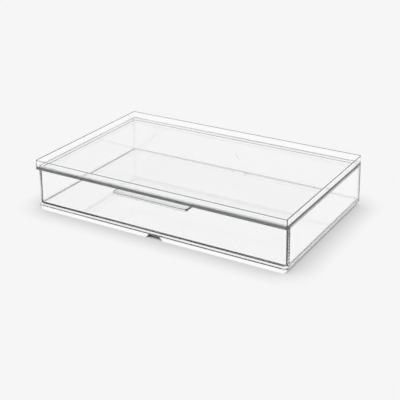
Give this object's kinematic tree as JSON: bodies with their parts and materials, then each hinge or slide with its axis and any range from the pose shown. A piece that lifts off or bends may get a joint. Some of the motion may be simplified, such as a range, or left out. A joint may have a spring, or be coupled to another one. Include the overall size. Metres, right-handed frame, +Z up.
{
  "type": "stackable drawer box",
  "caption": "Low clear-plastic drawer box for craft supplies and small parts: a case with a rimmed tray top and a foot ring for stacking, and a pull-out drawer with a lip pull.",
  "frame": {"origin": "on the table, under the middle of the whole outline with the drawer shut, pull included", "axes": "+X to the right along the front, +Y from the drawer front to the back wall, +Z up"},
  "size_m": [0.323, 0.2134, 0.062],
  "materials": {
    "case_plastic": "clear water-white polystyrene, polished, with crisp dark edge lines where one looks into a plate",
    "drawer_plastic": "clear water-white polystyrene, polished, a little greyer than the case inside"
  },
  "bodies": {
    "case": {"case": "case_plastic"},
    "drawer": {"drawer": "drawer_plastic"}
  },
  "joints": [
    {"name": "drawer_slide", "type": "slide", "parent": "case", "child": "drawer", "axis": [0, -1, 0], "range_m": [0, 0.16]}
  ]
}
